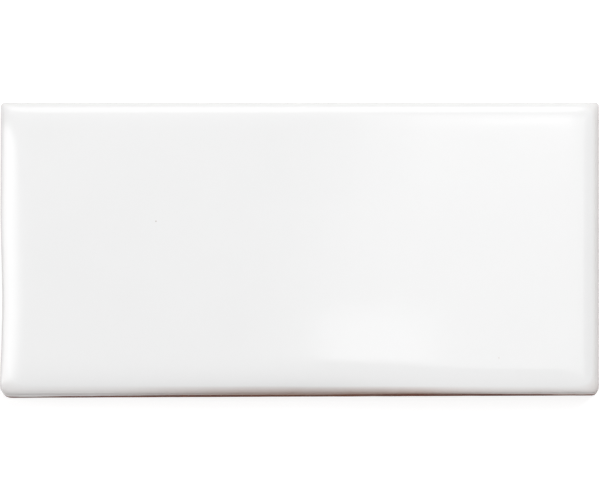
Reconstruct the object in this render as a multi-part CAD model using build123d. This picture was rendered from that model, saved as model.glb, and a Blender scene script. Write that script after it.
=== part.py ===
from build123d import *
from math import cos, radians, tan
import os

# A wall tile: one fired piece of clay, glazed on a face with pillowed edges, and keyed on its back.
# Millimetres. The tile lies on its back: +X along its length, +Y to its head edge, +Z out of its face.
# The origin is the middle of the back, in the plane that the back beds on.

# Overall size
tile_length = 149.2      # 5 7/8 in
tile_width = 73.5        # 2 7/8 in and a little over, at the left end
tile_thickness = 9.5     # 3/8 in, from the bedding plane to the face

# Hand-made outline
foot_rise = 0.6          # the foot edge climbs this far from the left end to the right
right_lean = 0.25        # the right edge leans in this far from the head to the foot
left_bow = 0.5           # the left edge curves in this far at its middle
head_left_radius = 0.9   # the four corners, seen from the face
head_right_radius = 0.9
foot_left_radius = 2.6
foot_right_radius = 1.5

# Pillowed edges: steep at the arris and easing into the face, wider on the left and foot edges
roll_drop = 2.7
roll_left = 9.0
roll_right = 7.0
roll_head = 7.0
roll_foot = 9.0
roll_fullness = 2.5      # 2 is an ellipse, and more is squarer at the arris with a longer shoulder
roll_spans = 6           # outlines that the roll is lofted through, after the first

# Side walls
wall_draft = 1.5         # degrees, narrower towards the back
back_chamfer = 0.6

# Key pattern in the back: a grid of shallow pockets, with ribs left between them
pocket_columns = 7
pocket_rows = 3
rib_width = 2.6
rim_width = 8.0          # plain margin around the pattern
pocket_depth = 0.8
pocket_taper = 35.0      # degrees from square, so that the clay leaves the mould
pocket_corner_radius = 2.0

# The arris, where the roll meets the wall, is the tile's widest outline
arris_height = tile_thickness - roll_drop


def outline(height, left=0.0, right=0.0, head=0.0, foot=0.0):
    """The tile's outline at a height, with each edge taken in by its own distance."""
    x_left = -tile_length / 2 + left
    x_right = tile_length / 2 - right
    y_foot = -tile_width / 2 + foot
    y_head = tile_width / 2 - head
    foot_left = (x_left, y_foot)
    foot_right = (x_right - right_lean, y_foot + foot_rise)
    head_right = (x_right, y_head)
    head_left = (x_left, y_head)
    bow_middle = (x_left + left_bow, (y_foot + y_head) / 2)
    sketch = make_face([
        Line(foot_left, foot_right),
        Line(foot_right, head_right),
        Line(head_right, head_left),
        ThreePointArc(head_left, bow_middle, foot_left),
    ])
    corners = [
        (foot_left, foot_left_radius),
        (foot_right, foot_right_radius),
        (head_right, head_right_radius),
        (head_left, head_left_radius),
    ]
    for corner, radius in corners:
        nearest = sketch.vertices().sort_by_distance(corner)[0]
        sketch = fillet(nearest, radius)
    return Pos(0, 0, height) * sketch


def walls():
    """From the back to the arris: a chamfered foot, then the drafted sides."""
    draft_in = (arris_height - back_chamfer) * tan(radians(wall_draft))
    base_in = draft_in + back_chamfer
    return loft([
        outline(0, base_in, base_in, base_in, base_in),
        outline(back_chamfer, draft_in, draft_in, draft_in, draft_in),
        outline(arris_height),
    ], ruled=True)


def pillow():
    """From the arris to the flat of the face: outlines drawn in along a quarter of a squared ellipse."""
    sections = []
    for step in range(roll_spans + 1):
        share = 1 - cos(radians(90 * step / roll_spans))
        climb = (1 - (1 - share) ** roll_fullness) ** (1 / roll_fullness)
        sections.append(outline(
            arris_height + roll_drop * climb,
            roll_left * share, roll_right * share, roll_head * share, roll_foot * share))
    return loft(sections)


def key_pockets():
    """The pockets that the bedding mortar keys into, to be cut from the back."""
    pitch_along = (tile_length - 2 * rim_width + rib_width) / pocket_columns
    pitch_across = (tile_width - 2 * rim_width + rib_width) / pocket_rows
    mouth = RectangleRounded(pitch_along - rib_width, pitch_across - rib_width, pocket_corner_radius)
    pocket = extrude(mouth, amount=pocket_depth, taper=pocket_taper)
    grid = GridLocations(pitch_along, pitch_across, pocket_columns, pocket_rows)
    return [place * pocket for place in grid]


def wall_tile():
    """The whole tile, fired as one piece."""
    tile = walls() + pillow() - key_pockets()
    tile.label = "wall_tile"
    return tile


os.makedirs("parts", exist_ok=True)
export_step(wall_tile(), "parts/wall_tile.step")
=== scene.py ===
import math

import bmesh
import bpy
from mathutils import Matrix, Vector, noise


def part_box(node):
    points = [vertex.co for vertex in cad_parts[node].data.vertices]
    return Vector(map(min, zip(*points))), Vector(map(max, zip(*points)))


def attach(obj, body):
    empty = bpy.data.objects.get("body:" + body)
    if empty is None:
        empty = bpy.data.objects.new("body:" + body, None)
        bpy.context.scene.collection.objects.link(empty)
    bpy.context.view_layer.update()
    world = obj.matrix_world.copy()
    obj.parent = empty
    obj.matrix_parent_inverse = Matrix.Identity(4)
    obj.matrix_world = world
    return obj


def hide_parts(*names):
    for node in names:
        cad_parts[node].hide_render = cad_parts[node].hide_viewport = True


# A white glazed wall tile lying on its back, seen from above and a little towards its foot edge.
# Metres, in the frame's own axes: +X along the tile, +Y to its head edge, +Z out of its face.

mm = 0.001

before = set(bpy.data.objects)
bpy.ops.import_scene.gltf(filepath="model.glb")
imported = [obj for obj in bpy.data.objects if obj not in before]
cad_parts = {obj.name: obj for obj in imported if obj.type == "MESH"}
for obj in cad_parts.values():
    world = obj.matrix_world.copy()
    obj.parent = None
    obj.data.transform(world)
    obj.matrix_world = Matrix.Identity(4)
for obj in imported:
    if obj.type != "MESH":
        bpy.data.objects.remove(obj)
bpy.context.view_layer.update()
low, high = [Vector(corner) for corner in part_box("wall_tile")]
print("frame loaded, tile is", [round(side / mm, 2) for side in high - low], "mm")

tile = {
    "left": low.x,
    "right": high.x,
    "foot": low.y,
    "head": high.y,
    "face": high.z,
    # the hand-made outline
    "footRise": 0.6 * mm,
    "rightLean": 0.25 * mm,
    "leftBow": 0.5 * mm,     # the left edge dips in, most of all a little below its middle
    "leftBowMiddle": -13.5 * mm,
    "leftBowReach": 24 * mm,
    "footLeftRadius": 2.6 * mm,
    "footRightRadius": 1.5 * mm,
    "headRightRadius": 0.9 * mm,
    "headLeftRadius": 0.9 * mm,
    "cornerSegments": 6,
    "cornerBlend": 3 * mm,   # what belongs to one side passes to the next over this distance
    # the pillowed edges
    "rollDrop": 2.7 * mm,
    "rollLeft": 9.0 * mm,
    "rollRight": 7.6 * mm,
    "rollHead": 7.0 * mm,
    "rollFoot": 9.0 * mm,
    "footRightNarrower": 1.6 * mm,  # the foot's roll at its ends, against its middle
    "footLeftWider": 1.4 * mm,
    "footTaper": 60 * mm,    # from the middle to where that is reached
    "rollFullness": 2.5,     # 2 is an ellipse, and more is squarer with a longer shoulder
    "footDeeper": 0.5 * mm,  # the foot edge rolls further down along its middle
    "footDeeperMiddle": 4 * mm,
    "footDeeperReach": 42 * mm,
    "footRightShallower": 1.5 * mm,  # less far at its ends, from these shares of the reach
    "footRightSooner": 0.2,
    "footLeftShallower": 0.1 * mm,
    "footLeftLater": 0.4,
    "rollWobble": 0.05,      # share of its width by which the roll wanders
    "rollWobbleLength": 18 * mm,
    "cornerPasses": 60,      # how round the roll's corners grow towards the face
    # the face isn't quite flat: low waves left by pressing and glazing
    "waveHeight": 0.06 * mm,
    "waveLength": 42 * mm,
    "waveFade": 3,           # how fast they die away down the roll
    "rippleShare": 0.12,     # finer waves on top of them
    "rippleFiner": 3.1,
    # mesh density
    "edgeStep": 0.8 * mm,
    "faceStep": 1.2 * mm,
    "rollRings": 18,
    "rollCrowding": 2.2,     # the rings lie closer towards the arris
    "sharpAngle": math.radians(40),
}

glazeEdge = {
    # how far the glaze runs down each wall below the arris
    "footRun": 0.08 * mm,
    "rightRun": 1.0 * mm,
    "headRun": 2.8 * mm,
    "leftRun": 2.4 * mm,
    "footLeftRun": 2.7 * mm,  # the dip went deeper at the foot edge's ends
    "footRightRun": 4.4 * mm,
    "footEndReach": 50 * mm,
    "waver": 0.35,           # share of the run that it wanders by
    "waverLength": 9 * mm,
    "fineWaver": 0.4,        # share of that which is finer
    "fineWaverLength": 3 * mm,
    "bead": 0.25 * mm,       # height of the rounded lip, and half the run at most
    "thickness": 0.07 * mm,  # the lip stands this far off the clay
    # how thin the glaze drew back along each edge as it melted, 0 to 1
    "footThin": 1.0,
    "footLeftLess": 0.62,    # the foot edge's ends lose this much of it
    "footRightLess": 0.1,
    "footLessReach": 58 * mm,  # from the middle to where they have lost it all
    "rightThin": 0.35,
    "headThin": 0.12,
    "leftThin": 0.18,
    "thinReach": 0.72,       # how far up the roll that shows, as a share of its height
    "thinFade": 0.6,         # under 1 it fades late, and over 1 soon
}

clayWall = {
    "draft": 0.04 * mm,      # narrower at the back than under the glaze
    "chamfer": 0.6 * mm,
    "chamferTurns": (0.15, 0.5, 0.85, 1.0),
    "rings": 9,
    "unevenness": 0.05 * mm,
    "unevenLength": 5 * mm,
}

keyedBack = {
    "columns": 7,
    "rows": 3,
    "rib": 2.6 * mm,
    "rim": 8.0 * mm,
    "depth": 0.8 * mm,
    "taper": math.radians(35),
    "cornerRadius": 2.0 * mm,
    "cornerSegments": 6,
    "softening": 0.12 * mm,  # the pocket's edges are rounded this much
}


# outline and profile of the tile

def smoothStep(value):
    value = min(1.0, max(0.0, value))
    return value * value * (3 - 2 * value)


def skewed(across, up):
    # a place on the tile's own outline, from 0 to 1 each way
    length = tile["right"] - tile["left"] - tile["rightLean"] * (1 - up)
    rise = tile["footRise"] * across
    x = tile["left"] + length * across
    y = tile["foot"] + rise + (tile["head"] - tile["foot"] - rise) * up
    return Vector((x, y, 0))


def drawnIn(place, left, right, head, foot):
    # each side moves in by its own distance, and what lies between follows in proportion
    across = (place.x - tile["left"]) / (tile["right"] - tile["left"])
    up = (place.y - tile["foot"]) / (tile["head"] - tile["foot"])
    return Vector((
        place.x + left * (1 - across) - right * across,
        place.y + foot * (1 - up) - head * up,
        0))


def startOutline(bm):
    corners = [
        (skewed(0, 0), tile["footLeftRadius"]),
        (skewed(1, 0), tile["footRightRadius"]),
        (skewed(1, 1), tile["headRightRadius"]),
        (skewed(0, 1), tile["headLeftRadius"]),
    ]
    verts = [bm.verts.new(place) for place, radius in corners]
    bm.faces.new(verts)
    for vert, (place, radius) in zip(verts, corners):
        bmesh.ops.bevel(
            bm, geom=[vert], offset=radius, segments=tile["cornerSegments"], profile=0.5,
            affect="VERTICES", material=-1)
    longestInCorner = max(radius for place, radius in corners)
    sides = [edge for edge in bm.edges if edge.calc_length() > longestInCorner]
    for side in sides:
        cuts = round(side.calc_length() / tile["edgeStep"]) - 1
        bmesh.ops.subdivide_edges(bm, edges=[side], cuts=cuts)
    bmesh.ops.delete(bm, geom=bm.faces[:], context="FACES_ONLY")
    for vert in bm.verts:
        if vert.co.x < tile["left"] + tile["footLeftRadius"]:
            off = abs(vert.co.y - tile["leftBowMiddle"]) / tile["leftBowReach"]
            vert.co.x += tile["leftBow"] * smoothStep(1 - off)
    return bm.edges[:]


def addRing(bm, loop, place, material):
    # a new ring of faces, whose far side each vertex finds from its place on the outline
    made = bmesh.ops.extrude_edge_only(bm, edges=loop)["geom"]
    start = bm.verts.layers.float_vector["start"]
    for vert in [part for part in made if isinstance(part, bmesh.types.BMVert)]:
        vert.co = place(Vector(vert[start]))
    for face in [part for part in made if isinstance(part, bmesh.types.BMFace)]:
        face.material_index = material
    return [part for part in made if isinstance(part, bmesh.types.BMEdge) and part.is_boundary]


def sideShares(place):
    # how far a place on the outline belongs to each side, blended round the corners,
    # and none of it for a place further inside
    gaps = {
        "left": place.x - tile["left"] - tile["leftBow"],
        "right": tile["right"] - place.x,
        "head": tile["head"] - place.y,
        "foot": place.y - tile["foot"] - tile["footRise"],
    }
    near = {side: max(0.0, 1 - gap / tile["cornerBlend"]) ** 2 for side, gap in gaps.items()}
    total = sum(near.values()) or 1
    return {side: share / total for side, share in near.items()}


def glazeRun(place):
    # how far the glaze runs down the wall here
    shares = sideShares(place)
    run = sum(glazeEdge[side + "Run"] * shares[side] for side in shares)
    side, near = "footLeftRun", place.x - tile["left"]
    if place.x > 0:
        side, near = "footRightRun", tile["right"] - place.x
    nearness = smoothStep(1 - near / glazeEdge["footEndReach"]) * shares["foot"]
    run += (glazeEdge[side] - glazeEdge["footRun"]) * nearness
    wander = noise.noise(place / glazeEdge["waverLength"])
    wander += glazeEdge["fineWaver"] * noise.noise(place / glazeEdge["fineWaverLength"])
    return run * (1 + glazeEdge["waver"] * wander)


def arrisHeight(place):
    # where the roll meets the wall
    off = (place.x - tile["footDeeperMiddle"]) / tile["footDeeperReach"]
    deeper = tile["footDeeper"] * smoothStep(1 - abs(off))
    deeper -= tile["footRightShallower"] * smoothStep(off + tile["footRightSooner"])
    deeper -= tile["footLeftShallower"] * smoothStep(-off - tile["footLeftLater"])
    return tile["face"] - tile["rollDrop"] - deeper * sideShares(place)["foot"]


def rollRing(share):
    power = tile["rollFullness"]
    climb = (1 - (1 - share) ** power) ** (1 / power)

    def place(start):
        wobble = noise.noise(start / tile["rollWobbleLength"])
        inward = share * (1 + tile["rollWobble"] * wobble)
        rightward = start.x / tile["footTaper"]
        rollFoot = tile["rollFoot"] - tile["footRightNarrower"] * smoothStep(rightward)
        rollFoot += tile["footLeftWider"] * smoothStep(-rightward)
        inside = drawnIn(
            start, tile["rollLeft"] * inward, tile["rollRight"] * inward,
            tile["rollHead"] * inward, rollFoot * inward)
        arris = arrisHeight(start)
        inside.z = arris + (tile["face"] - arris) * climb
        return inside
    return place


def roundCorners(loop, passes):
    # each pass draws a ring's vertices halfway towards their neighbours, so only its corners move
    beside = {vert: [] for edge in loop for vert in edge.verts}
    for edge in loop:
        first, second = edge.verts
        beside[first].append(second)
        beside[second].append(first)
    for turn in range(passes):
        middles = {
            vert: (ahead.co.xy + behind.co.xy) / 2 for vert, (ahead, behind) in beside.items()}
        for vert, middle in middles.items():
            vert.co.xy = (vert.co.xy + middle) / 2


def wallRing(inset, height, uneven=0.0):
    # height is a function of the place, because the glaze line wanders
    def place(start):
        lift = height(start)
        spot = (start + Vector((0, 0, lift))) / clayWall["unevenLength"]
        dent = uneven * (0.5 + 0.5 * noise.noise(spot))
        ring = drawnIn(start, inset + dent, inset + dent, inset + dent, inset + dent)
        ring.z = lift
        return ring
    return place


def makeTile():
    bm = bmesh.new()
    loop = startOutline(bm)
    start = bm.verts.layers.float_vector.new("start")
    for vert in bm.verts:
        vert[start] = vert.co
        vert.co.z = arrisHeight(vert.co)
    arrisLoop = loop

    # the rolled edge, up to the flat of the face
    for ring in range(1, tile["rollRings"] + 1):
        loop = addRing(bm, loop, rollRing((ring / tile["rollRings"]) ** tile["rollCrowding"]), 0)
        roundCorners(loop, round(tile["cornerPasses"] * ring / tile["rollRings"]))

    # the face, diced so that it can carry its low waves
    panel = bmesh.ops.contextual_create(bm, geom=loop)["faces"]
    region = panel + loop + list(panel[0].verts)
    for axis, near, far in (("X", "left", "right"), ("Y", "foot", "head")):
        normal = Vector((axis == "X", axis == "Y", 0))
        for cut in range(1, round((tile[far] - tile[near]) / tile["faceStep"])):
            where = normal * (tile[near] + cut * tile["faceStep"])
            region = bmesh.ops.bisect_plane(
                bm, geom=region, dist=0.01 * mm, plane_co=where, plane_no=normal)["geom"]

    # the glaze runs down over the arris and ends in a rounded lip
    lip = [
        # inset, share of the run, share of the bead's height
        (0.02, 0.45, 0.0),
        (0.03, 0.80, 0.0),
        (0.01, 1.0, -1.0),
        (0.02, 1.0, -0.55),
        (0.35, 1.0, -0.18),
        (0.75, 1.0, -0.03),
        (1.0, 1.0, 0.0),
    ]
    loop = arrisLoop
    for inset, runShare, beadShare in lip:
        def height(place, runShare=runShare, beadShare=beadShare):
            run = glazeRun(place)
            bead = min(glazeEdge["bead"], run / 2)
            return arrisHeight(place) - run * runShare - bead * beadShare
        loop = addRing(bm, loop, wallRing(inset * glazeEdge["thickness"], height), 0)

    # the bare clay wall, from the lip to the chamfer and round it
    chamfer = clayWall["chamfer"]
    for ring in range(1, clayWall["rings"] + 1):
        down = ring / clayWall["rings"]

        def height(place, down=down):
            under = arrisHeight(place) - glazeRun(place)
            return under + (chamfer - under) * down
        inset = glazeEdge["thickness"] + clayWall["draft"] * down
        loop = addRing(bm, loop, wallRing(inset, height, clayWall["unevenness"]), 1)
    wallIn = glazeEdge["thickness"] + clayWall["draft"]
    for turn in clayWall["chamferTurns"]:
        def height(place, turn=turn):
            return chamfer * (1 - turn)
        inset = wallIn + chamfer * turn
        loop = addRing(bm, loop, wallRing(inset, height, clayWall["unevenness"]), 1)

    addBack(bm, loop)
    markGlaze(bm)
    settleFace(bm)

    bmesh.ops.recalc_face_normals(bm, faces=bm.faces)
    for face in bm.faces:
        face.smooth = True
    mesh = bpy.data.meshes.new("glazedTile")
    bm.to_mesh(mesh)
    bm.free()
    mesh.set_sharp_from_angle(angle=tile["sharpAngle"])
    piece = bpy.data.objects.new("glazedTile", mesh)
    bpy.context.collection.objects.link(piece)
    return piece


def addBack(bm, loop):
    # the web of rim and ribs, with the pockets sunk into it
    rim, rib = keyedBack["rim"], keyedBack["rib"]
    pitchX = (tile["right"] - tile["left"] - 2 * rim + rib) / keyedBack["columns"]
    pitchY = (tile["head"] - tile["foot"] - 2 * rim + rib) / keyedBack["rows"]
    before = set(bm.faces)
    for column in range(keyedBack["columns"]):
        for row in range(keyedBack["rows"]):
            centre = Matrix.Translation((
                tile["left"] + rim - rib / 2 + pitchX * (column + 0.5),
                tile["foot"] + rim - rib / 2 + pitchY * (row + 0.5), 0))
            size = Matrix.Diagonal((pitchX - rib, pitchY - rib, 1, 1))
            made = bmesh.ops.create_grid(
                bm, x_segments=1, y_segments=1, size=0.5, matrix=centre @ size)
            bmesh.ops.bevel(
                bm, geom=made["verts"], offset=keyedBack["cornerRadius"],
                segments=keyedBack["cornerSegments"], profile=0.5, affect="VERTICES", material=-1)
    mouths = [face for face in bm.faces if face not in before]
    bmesh.ops.reverse_faces(bm, faces=mouths)
    mouthEdges = [edge for face in mouths for edge in face.edges]
    bmesh.ops.triangle_fill(bm, use_beauty=True, edges=loop + mouthEdges, normal=(0, 0, -1))
    soft = keyedBack["softening"]
    slopeDepth = keyedBack["depth"] - 2 * soft
    pocket = [
        # inward, down: a rounded mouth, the slope and a rounded floor
        (soft * 0.7, soft * 0.3),
        (soft * 0.5, soft * 0.7),
        (slopeDepth * math.tan(keyedBack["taper"]), slopeDepth),
        (soft * 0.5, soft * 0.7),
        (soft * 0.9, soft * 0.3),
    ]
    for inward, down in pocket:
        bmesh.ops.inset_individual(
            bm, faces=mouths, thickness=inward, depth=-down, use_even_offset=True)
    for face in bm.faces:
        if face not in before:
            face.material_index = 1


def markGlaze(bm):
    # for the materials: height above the glaze's lip, how thin the glaze lies along this edge,
    # and how much of the clay it lets through here
    for name in ("aboveLip", "thinGlaze", "clayShows"):
        bm.verts.layers.float.new(name)
    layers = bm.verts.layers.float
    above, thin, shows = layers["aboveLip"], layers["thinGlaze"], layers["clayShows"]
    start = bm.verts.layers.float_vector["start"]
    for vert in bm.verts:
        place = Vector(vert[start])
        shares = sideShares(place)
        less = glazeEdge["footLeftLess" if place.x < 0 else "footRightLess"]
        ends = less * smoothStep(abs(place.x) / glazeEdge["footLessReach"]) * shares["foot"]
        reach = glazeEdge["thinReach"] * (tile["face"] - arrisHeight(place)) + glazeRun(place)
        vert[above] = vert.co.z - arrisHeight(place) + glazeRun(place)
        vert[thin] = sum(glazeEdge[side + "Thin"] * shares[side] for side in shares) - ends
        fade = min(1.0, max(0.0, 1 - vert[above] / reach))
        vert[shows] = vert[thin] * fade ** glazeEdge["thinFade"]


def settleFace(bm):
    # low waves in the face, which only take it down
    for vert in bm.verts:
        lift = 1 + (vert.co.z - tile["face"]) / tile["rollDrop"]
        if lift > 0:
            place = vert.co / tile["waveLength"]
            ripple = tile["rippleShare"] * noise.noise(place * tile["rippleFiner"])
            wave = 0.5 + 0.5 * noise.noise(place) + ripple
            vert.co.z -= tile["waveHeight"] * lift ** tile["waveFade"] * max(0.0, wave)


# materials

def linear(hexCode):
    # an sRGB hex colour as the linear one that the shader wants
    channels = [int(hexCode[index:index + 2], 16) / 255 for index in (1, 3, 5)]
    return [c / 12.92 if c <= 0.04045 else ((c + 0.055) / 1.055) ** 2.4 for c in channels] + [1.0]


def addNode(tree, kind, links=None, **settings):
    # one node, its settings by attribute or by socket name, and what feeds it
    node = tree.nodes.new(kind)
    for name, value in settings.items():
        if hasattr(node, name):
            setattr(node, name, value)
        else:
            node.inputs[name.replace("_", " ")].default_value = value
    for socket, source in (links or {}).items():
        tree.links.new(source, node.inputs[socket])
    return node


def newMaterial(name):
    material = bpy.data.materials.new(name)
    material.use_nodes = True
    tree = material.node_tree
    tree.nodes.clear()
    return material, tree


def maths(tree, operation, first, second):
    # one sum on two sockets or plain numbers
    node = addNode(tree, "ShaderNodeMath", operation=operation)
    for index, value in enumerate((first, second)):
        if isinstance(value, (int, float)):
            node.inputs[index].default_value = value
        else:
            tree.links.new(value, node.inputs[index])
    return node.outputs[0]


def spread(tree, value, start, end, low=0.0, high=1.0):
    # a value from start to end, brought to a range from low to high and held there
    return addNode(
        tree, "ShaderNodeMapRange", {"Value": value},
        From_Min=start, From_Max=end, To_Min=low, To_Max=high).outputs[0]


def mixed(tree, share, first, second):
    # two colours, each a hex code or a socket
    node = addNode(tree, "ShaderNodeMix", {0: share}, data_type="RGBA")
    for index, colour in ((6, first), (7, second)):
        if isinstance(colour, str):
            node.inputs[index].default_value = linear(colour)
        else:
            tree.links.new(colour, node.inputs[index])
    return node.outputs[2]


def cloud(tree, place, size, detail=3):
    # noise whose patches are about this many metres across
    return addNode(
        tree, "ShaderNodeTexNoise", {"Vector": place}, Scale=1 / size, Detail=detail).outputs[0]


def grains(tree, place, size, radius, share):
    # round spots of this radius, in this share of cells that are size metres across
    cells = addNode(tree, "ShaderNodeTexVoronoi", {"Vector": place}, Scale=1 / size)
    inside = spread(tree, cells.outputs["Distance"], radius / size, 0.7 * radius / size)
    pick = addNode(tree, "ShaderNodeSeparateColor", {0: cells.outputs["Color"]}).outputs[0]
    return maths(tree, "MULTIPLY", inside, maths(tree, "GREATER_THAN", pick, 1 - share))


noiseSpan = (0.3, 0.7)  # nearly all of a cloud's values lie between these

glaze = {
    "white": "#F3F3F3",
    "milk": "#F2F2F2",           # where the glaze lies a little thicker
    "clayShowing": "#935A2E",
    "milkSize": 22 * mm,
    "milkEdge": (0.35, 0.65),    # the noise at which the milk sets in and is full
    "showingUneven": 0.12,       # share by which the clay's showing comes and goes
    "showingSize": 5 * mm,
    "speckColour": "#D2CBC2",
    "darkSpeckColour": "#A39486",
    "speckCell": 5 * mm,
    "speckRadius": 0.14 * mm,
    "speckShare": 0.12,
    "darkSpeck": (-35.8 * mm, 6.65 * mm),
    "darkSpeckRadius": 0.17 * mm,
    "peelSize": 2.6 * mm,
    "peelHeight": 0.001 * mm,
    "roughness": 0.045,
    "roughnessUneven": 0.15,     # share by which that varies
    "roughnessSize": 8 * mm,
    "thinRoughness": 0.55,       # the film that is left over the clay fires drier
    "ior": 1.5,
}


def makeGlaze():
    # tin-white gloss glaze, dipped and fired: a hard wet-looking sheen over opaque white,
    # which lets the red clay show through where it has drawn thin along the foot edge
    material, tree = newMaterial("tinWhiteGlossGlaze")
    place = addNode(tree, "ShaderNodeTexCoord").outputs["Object"]
    shows = addNode(tree, "ShaderNodeAttribute", attribute_name="clayShows").outputs["Fac"]

    milk = spread(tree, cloud(tree, place, glaze["milkSize"]), *glaze["milkEdge"])
    colour = mixed(tree, milk, glaze["white"], glaze["milk"])
    specks = grains(tree, place, glaze["speckCell"], glaze["speckRadius"], glaze["speckShare"])
    colour = mixed(tree, specks, colour, glaze["speckColour"])
    speck = addNode(tree, "ShaderNodeVectorMath", {0: place}, operation="DISTANCE")
    speck.inputs[1].default_value = (*glaze["darkSpeck"], tile["face"])
    radius = glaze["darkSpeckRadius"]
    inSpeck = spread(tree, speck.outputs["Value"], radius, radius * 0.5)
    colour = mixed(tree, inSpeck, colour, glaze["darkSpeckColour"])

    comesAndGoes = spread(
        tree, cloud(tree, place, glaze["showingSize"]), *noiseSpan, 1 - glaze["showingUneven"], 1)
    colour = mixed(tree, maths(tree, "MULTIPLY", shows, comesAndGoes), colour, glaze["clayShowing"])

    peel = cloud(tree, place, glaze["peelSize"], 1)
    bump = addNode(tree, "ShaderNodeBump", {"Height": peel}, Distance=glaze["peelHeight"])
    smoothest = glaze["roughness"] * (1 - glaze["roughnessUneven"])
    roughest = glaze["roughness"] * (1 + glaze["roughnessUneven"])
    rough = spread(
        tree, cloud(tree, place, glaze["roughnessSize"]), *noiseSpan, smoothest, roughest)
    rough = maths(tree, "ADD", rough, spread(tree, shows, 0, 1, 0, glaze["thinRoughness"]))
    shader = addNode(
        tree, "ShaderNodeBsdfPrincipled",
        {"Base Color": colour, "Roughness": rough, "Normal": bump.outputs[0]}, IOR=glaze["ior"])
    addNode(tree, "ShaderNodeOutputMaterial", {"Surface": shader.outputs[0]})
    return material


bisque = {
    "light": "#8C5C49",
    "dark": "#643D30",
    "patchSize": 9 * mm,
    "mottleSize": 1.5 * mm,
    "patchEdge": (0.75, 1.25),   # the two clouds' sum at which the dark sets in and is full
    "grog": "#D2AE98",
    "grogCell": 1.3 * mm,
    "grogRadius": 0.22 * mm,
    "grogShare": 0.5,
    "iron": "#4A342C",
    "ironCell": 1.7 * mm,
    "ironRadius": 0.16 * mm,
    "ironShare": 0.35,
    "dust": "#CDB7AA",           # kiln dust and dried slip
    "dustSize": 16 * mm,
    "dustEdge": (0.52, 0.75),
    "dustMost": 0.45,
    "smear": "#E4DCD6",          # glaze wiped off below the lip
    "smearReach": 2.2 * mm,
    "smearSize": 3 * mm,
    "smearEdge": (0.48, 0.62),
    "smearMost": 0.6,
    "smearThinness": (0.9, 0.4),  # none where the glaze is this thin, all where it is thicker
    "dragSpacing": 0.45 * mm,    # marks of the cutter along the walls
    "dragStretch": 0.04,
    "grainSize": 0.35 * mm,
    "grainHeight": 0.03 * mm,
    "roughness": 0.88,
    "ior": 1.45,
    "sheen": 0.2,                # porous, so it reflects less than its IOR says
}


def makeBisque():
    # red earthenware, fired unglazed: matt, porous and grainy, with grog and iron in it
    material, tree = newMaterial("redEarthenwareBisque")
    place = addNode(tree, "ShaderNodeTexCoord").outputs["Object"]
    above = addNode(tree, "ShaderNodeAttribute", attribute_name="aboveLip").outputs["Fac"]

    patches = cloud(tree, place, bisque["patchSize"])
    mottle = cloud(tree, place, bisque["mottleSize"])
    share = spread(tree, maths(tree, "ADD", patches, mottle), *bisque["patchEdge"])
    colour = mixed(tree, share, bisque["light"], bisque["dark"])
    for kind in ("grog", "iron"):
        spots = grains(
            tree, place, bisque[kind + "Cell"], bisque[kind + "Radius"], bisque[kind + "Share"])
        colour = mixed(tree, spots, colour, bisque[kind])
    dusting = spread(
        tree, cloud(tree, place, bisque["dustSize"], 6), *bisque["dustEdge"], 0, bisque["dustMost"])
    colour = mixed(tree, dusting, colour, bisque["dust"])
    thinness = addNode(tree, "ShaderNodeAttribute", attribute_name="thinGlaze").outputs["Fac"]
    wiped = spread(
        tree, cloud(tree, place, bisque["smearSize"], 4), *bisque["smearEdge"], 0, bisque["smearMost"])
    smearing = maths(tree, "MULTIPLY", spread(tree, above, -bisque["smearReach"], 0), wiped)
    held = spread(tree, thinness, *bisque["smearThinness"])
    smearing = maths(tree, "MULTIPLY", smearing, held)
    colour = mixed(tree, smearing, colour, bisque["smear"])

    along = addNode(tree, "ShaderNodeMapping", {"Vector": place})
    along.inputs["Scale"].default_value = (bisque["dragStretch"], bisque["dragStretch"], 1)
    drag = cloud(tree, along.outputs[0], bisque["dragSpacing"], 2)
    grain = cloud(tree, place, bisque["grainSize"], 2)
    height = maths(tree, "ADD", drag, grain)
    bump = addNode(tree, "ShaderNodeBump", {"Height": height}, Distance=bisque["grainHeight"])
    shader = addNode(
        tree, "ShaderNodeBsdfPrincipled", {"Base Color": colour, "Normal": bump.outputs[0]},
        Roughness=bisque["roughness"], IOR=bisque["ior"], Specular_IOR_Level=bisque["sheen"])
    addNode(tree, "ShaderNodeOutputMaterial", {"Surface": shader.outputs[0]})
    return material


glazedTile = makeTile()
for material in (makeGlaze(), makeBisque()):
    glazedTile.data.materials.append(material)
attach(glazedTile, "root")
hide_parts("wall_tile")
mesh = glazedTile.data
print("tile made:", len(mesh.vertices), "vertices,", len(mesh.polygons), "faces")


# studio

studio = {
    "floorSize": 40.0,
    "floorDrop": 0.05 * mm,
    "floorColour": "#AAAAAA",
    "floorLift": 0.82,       # what the floor adds for the eye, so that it reads as white
    "surround": 1.0,         # the surround, as the eye and the glaze see it
    "fill": 0.12,            # and as a light
    "lens": 600,
    "sensor": 36,
    "tilt": math.radians(7),
    "pictureWidth": 600,
    "tilePixels": 599.2,
    "aim": (0.05 * mm, -0.34 * mm),
    "aimHeight": 0.8,        # share of the tile's thickness
    "panelDistance": 1.2,
    "panelEdge": 0.001,      # share of a panel over which an unfaded edge still fades
}

# soft panels aimed at the tile: degrees up, degrees round from +X, size, brightness where 1
# is white, and how far each one fades at its left, lower and upper edges
softPanels = {
    "keyPanel": (50, 45, (0.5, 0.5), 9.95, (0, 0, 0)),
    "backPanel": (45, 105, (0.9, 0.6), 2.0, (0, 0, 0.1)),
    "leftPanel": (42, 180, (0.4, 1.75), 3.25, (0, 0, 0.5)),
    "lowLeftPanel": (14, 192, (0.5, 0.4), 2.4, (0, 0, 0)),
    "footPanel": (20, 292, (1.4, 0.5), 0.95, (0, 0, 0)),
}

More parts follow.
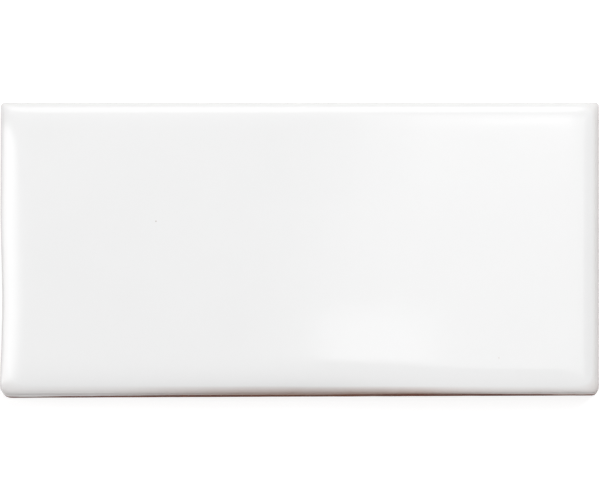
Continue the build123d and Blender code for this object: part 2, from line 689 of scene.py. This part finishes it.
# panels that hang level over the tile and show in its face: middle, turn in degrees, size,
# brightness and fades. Each hangs at its own height, or it would hide the next in reflections
overheadPanels = {
    "windowSheet": ((0.235, 0.229, 1.20), -13, (0.45, 0.40), 1.15, (0.05, 0.01, 0)),
    "skySheet": ((0.085, 0.40, 1.22), 0, (0.14, 0.46), 1.3, (0.03, 0.14, 0)),
    "windowPane": ((0.029, 0.109, 1.18), 0, (0.042, 0.026), 1.0, (0, 0, 0)),
}


def seenShare(tree):
    # 1 for what the camera sees straight, in a reflection or through glass, and 0 for what lights
    rays = addNode(tree, "ShaderNodeLightPath").outputs
    share = maths(tree, "ADD", rays["Is Camera Ray"], rays["Is Glossy Ray"])
    share = maths(tree, "ADD", share, rays["Is Transmission Ray"])
    return maths(tree, "MINIMUM", share, 1)


def makeFloor():
    bm = bmesh.new()
    bmesh.ops.create_grid(bm, x_segments=1, y_segments=1, size=studio["floorSize"] / 2)
    bmesh.ops.translate(bm, verts=bm.verts, vec=(0, 0, -studio["floorDrop"]))
    mesh = bpy.data.meshes.new("studioFloor")
    bm.to_mesh(mesh)
    bm.free()
    floor = bpy.data.objects.new("studioFloor", mesh)
    bpy.context.collection.objects.link(floor)
    material, tree = newMaterial("whitePaperSweep")
    diffuse = addNode(tree, "ShaderNodeBsdfDiffuse")
    diffuse.inputs["Color"].default_value = linear(studio["floorColour"])
    strength = maths(tree, "MULTIPLY", seenShare(tree), studio["floorLift"])
    glow = addNode(tree, "ShaderNodeEmission", {"Strength": strength})
    both = addNode(tree, "ShaderNodeAddShader", {0: diffuse.outputs[0], 1: glow.outputs[0]})
    addNode(tree, "ShaderNodeOutputMaterial", {"Surface": both.outputs[0]})
    mesh.materials.append(material)


def aimed(obj, place, target):
    obj.location = place
    obj.rotation_euler = (Vector(target) - Vector(place)).to_track_quat("-Z", "Y").to_euler()


def makeCamera():
    data = bpy.data.cameras.new("camera")
    data.lens = studio["lens"]
    data.sensor_width = studio["sensor"]
    camera = bpy.data.objects.new("camera", data)
    bpy.context.collection.objects.link(camera)
    length = tile["right"] - tile["left"]
    distance = length * studio["lens"] / studio["sensor"]
    distance *= studio["pictureWidth"] / studio["tilePixels"]
    middle = Vector((*studio["aim"], tile["face"] * studio["aimHeight"]))
    away = Vector((0, -math.sin(studio["tilt"]), math.cos(studio["tilt"])))
    aimed(camera, middle + away * distance, middle)
    bpy.context.scene.camera = camera


def addPanel(name, size, brightness, fades):
    data = bpy.data.lights.new(name, "AREA")
    data.shape = "RECTANGLE"
    data.size, data.size_y = size
    data.energy = brightness * math.pi * data.size * data.size_y
    light = bpy.data.objects.new(name, data)
    bpy.context.collection.objects.link(light)
    light.visible_camera = False
    if any(fades):
        data.use_nodes = True
        tree = data.node_tree
        spot = addNode(tree, "ShaderNodeNewGeometry").outputs["Parametric"]
        across, upward = addNode(tree, "ShaderNodeSeparateXYZ", {0: spot}).outputs[:2]
        left, bottom, top = fades
        edge = studio["panelEdge"]
        strength = maths(
            tree, "MULTIPLY", spread(tree, across, 0, left / size[0] + edge),
            spread(tree, upward, 0, bottom / size[1] + edge))
        upper = spread(tree, upward, 1, 1 - edge - top / size[1])
        strength = maths(tree, "MULTIPLY", strength, upper)
        tree.links.new(strength, tree.nodes["Emission"].inputs["Strength"])
    return light


def addSoftPanel(name, elevation, azimuth, size, brightness, fades):
    light = addPanel(name, size, brightness, fades)
    up, turn = math.radians(elevation), math.radians(azimuth)
    place = Vector((math.cos(up) * math.cos(turn), math.cos(up) * math.sin(turn), math.sin(up)))
    aimed(light, place * studio["panelDistance"], (0, 0, 0))


def addOverheadPanel(name, middle, turn, size, brightness, fades):
    light = addPanel(name, size, brightness, fades)
    light.location = middle
    light.rotation_euler.z = math.radians(turn)


def makeWorld():
    # an even white surround for the eye and for reflections, and a low fill for the rest
    world = bpy.data.worlds.new("whiteStudio")
    world.use_nodes = True
    tree = world.node_tree
    tree.nodes.clear()
    strength = spread(tree, seenShare(tree), 0, 1, studio["fill"], studio["surround"])
    background = addNode(tree, "ShaderNodeBackground", {"Strength": strength})
    background.inputs["Color"].default_value = linear("#FFFFFF")
    addNode(tree, "ShaderNodeOutputWorld", {"Surface": background.outputs[0]})
    bpy.context.scene.world = world


makeFloor()
makeCamera()
makeWorld()
for name, settings in softPanels.items():
    addSoftPanel(name, *settings)
for name, settings in overheadPanels.items():
    addOverheadPanel(name, *settings)
# the key stays out of the glaze, where it would show as a hard spot on one corner
bpy.data.objects["keyPanel"].visible_glossy = False
bpy.context.scene.view_settings.view_transform = "Standard"
print("studio ready")
